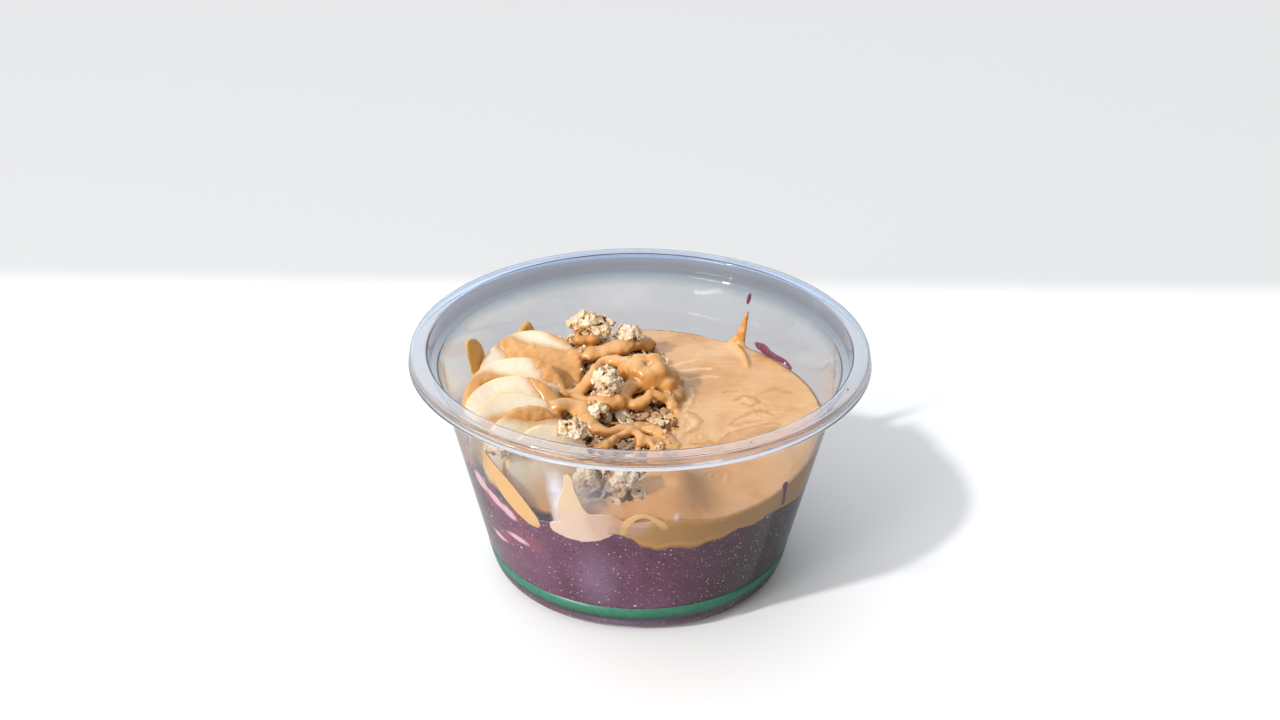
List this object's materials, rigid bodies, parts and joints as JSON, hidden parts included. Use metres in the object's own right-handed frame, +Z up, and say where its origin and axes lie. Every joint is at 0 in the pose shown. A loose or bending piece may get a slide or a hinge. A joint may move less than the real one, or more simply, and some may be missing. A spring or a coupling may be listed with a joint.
{
  "type": "acai bowl",
  "caption": "Clear round takeaway bowl filled with purple acai puree and topped with peanut butter, banana slices and granola.",
  "frame": {"origin": "middle of the bowl's flat underside", "axes": "+Z up the bowl's axis; +X towards the open pool of peanut butter; -X towards the banana slices; -Y towards the front"},
  "size_m": [0.1312, 0.1312, 0.0705],
  "materials": {
    "clear_bowl": "clear thermoformed bioplastic, glossy",
    "acai": "thick frozen berry puree, satin",
    "peanut_butter": "runny smooth peanut butter, glossy",
    "banana": "moist cut banana flesh",
    "granola": "dry baked oat clusters, rough",
    "green_print": "plain green band printed round the bowl"
  },
  "bodies": {
    "root": {"bowl": "clear_bowl", "acai_base": "acai", "peanut_butter": "peanut_butter", "banana_slice_1": "banana", "banana_slice_2": "banana", "banana_slice_3": "banana", "banana_slice_4": "banana", "banana_slice_5": "banana", "banana_slice_6": "banana", "granola_heap": "granola", "granola_cluster_1": "granola", "granola_cluster_2": "granola", "granola_cluster_3": "granola", "granola_cluster_4": "granola", "granola_cluster_5": "granola", "granola_cluster_6": "granola", "granola_cluster_7": "granola", "granola_cluster_8": "granola", "granola_cluster_9": "granola"}
  },
  "joints": []
}
